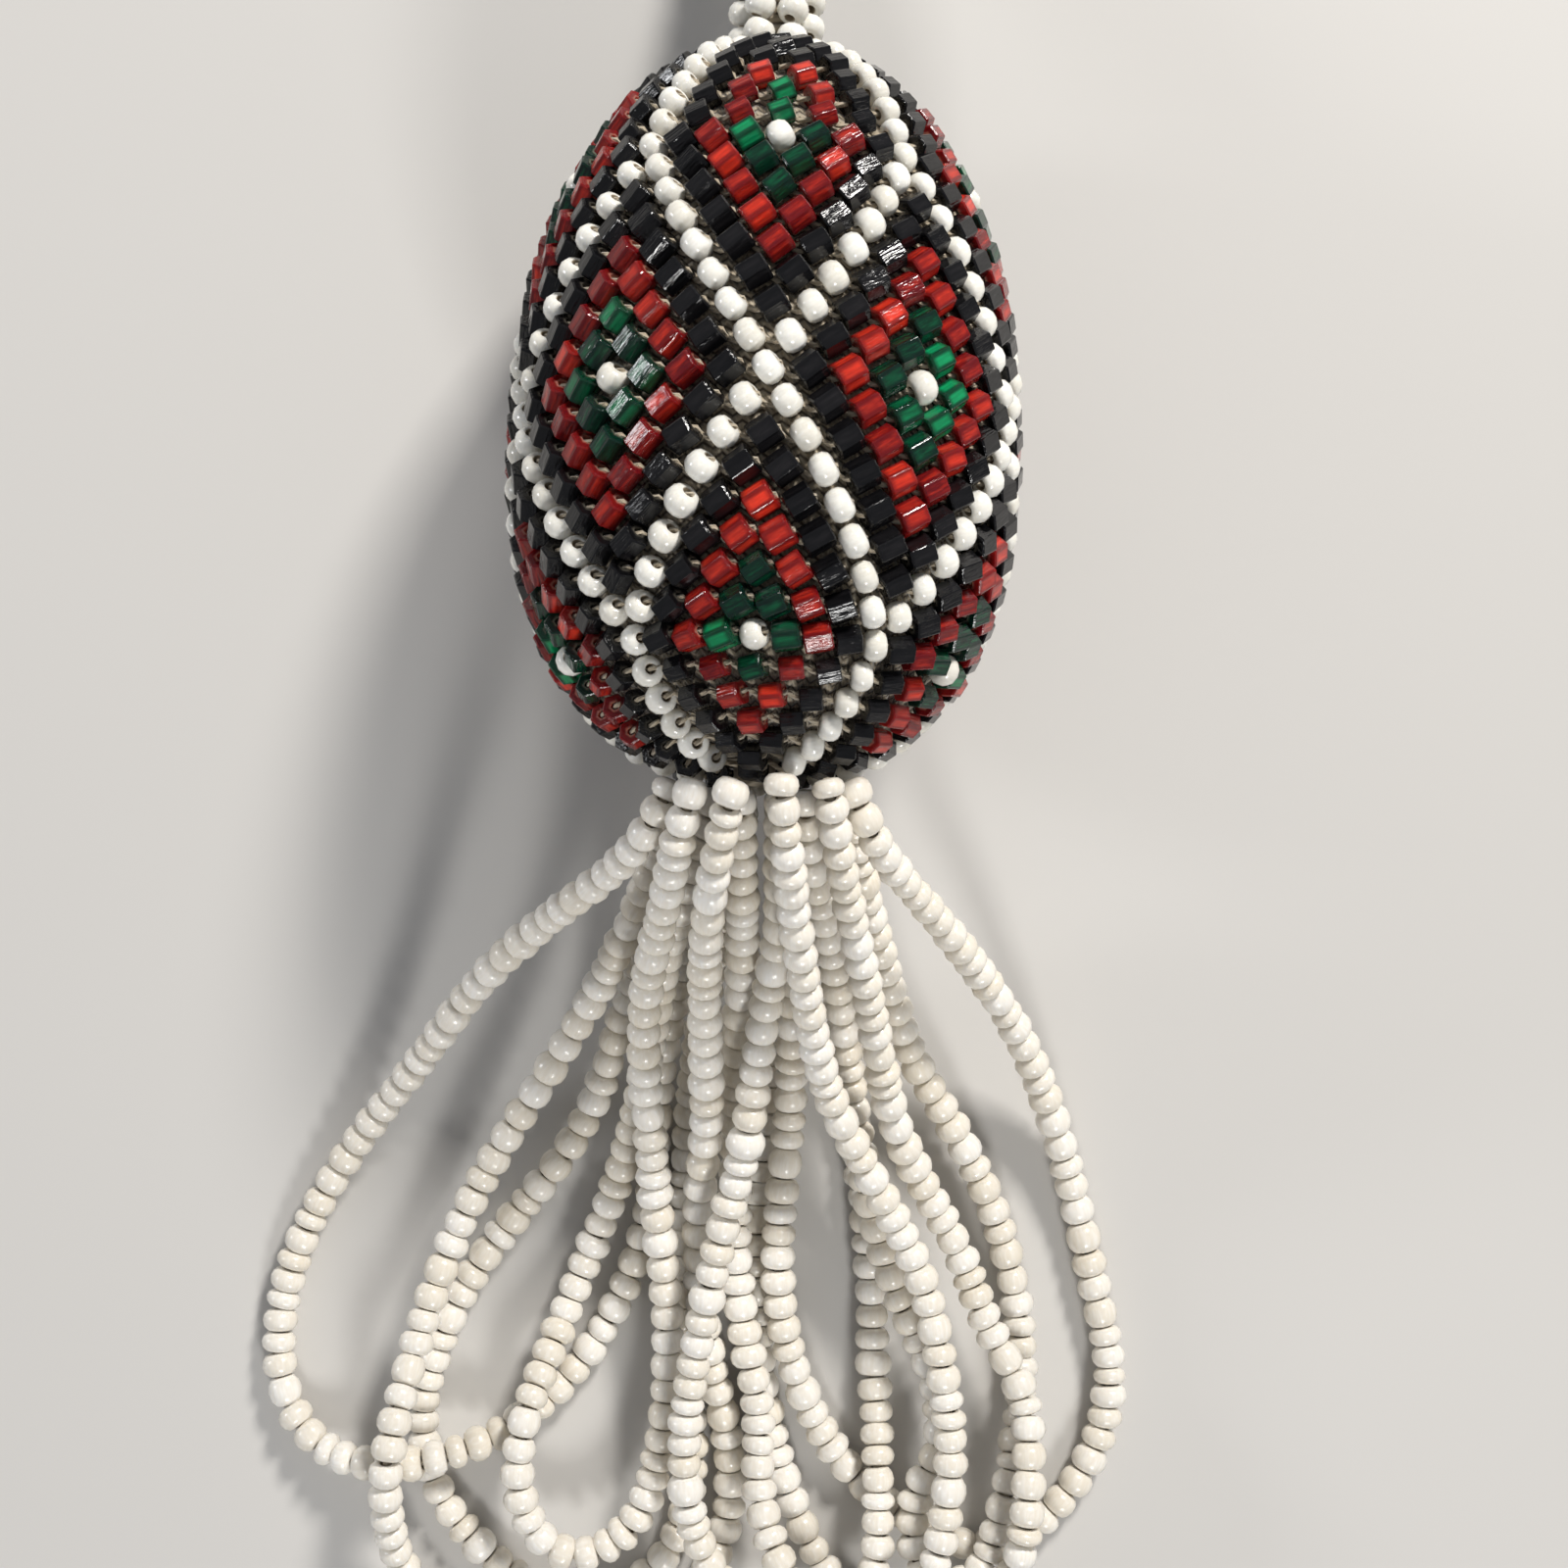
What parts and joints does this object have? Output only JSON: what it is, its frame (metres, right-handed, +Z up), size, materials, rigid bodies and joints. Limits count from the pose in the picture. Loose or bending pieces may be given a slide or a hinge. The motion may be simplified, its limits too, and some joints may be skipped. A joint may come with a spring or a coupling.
{
  "type": "beaded egg ornament",
  "caption": "Egg covered in bead crochet with a diamond pattern, hung by a white bead rope, with a tassel of beaded loops at its other end.",
  "frame": {"origin": "on the floor under the middle of the beaded egg, with the rope and the tassel left out", "axes": "+Z up off the surface it lies on, +Y along the egg toward its pointed end and the rope, +X to the right as seen from above"},
  "size_m": [0.0856, 0.236, 0.0478],
  "materials": {
    "core_wood": "matt",
    "thread": "matt cotton",
    "white_glass": "opaque gloss",
    "strand_glass": "opaque gloss",
    "green_glass": "dark translucent gloss",
    "red_glass": "translucent gloss",
    "black_glass": "opaque gloss"
  },
  "bodies": {
    "root": {"egg_core": "core_wood", "crochet_jacket": "thread", "tassel_gathering": "thread", "rope_core": "thread", "white_eye_beads": "white_glass", "white_lattice_beads": "white_glass", "green_beads": "green_glass", "red_beads": "red_glass", "black_beads": "black_glass", "rope_beads": "white_glass", "hanging_loop": "strand_glass", "strand_far_left": "strand_glass", "strand_left_two": "strand_glass", "strand_left_three": "strand_glass", "strand_left_front": "strand_glass", "strand_mid_front": "strand_glass", "strand_mid_right": "strand_glass", "strand_right_front": "strand_glass", "strand_far_right": "strand_glass", "strand_right_two": "strand_glass"}
  },
  "joints": []
}
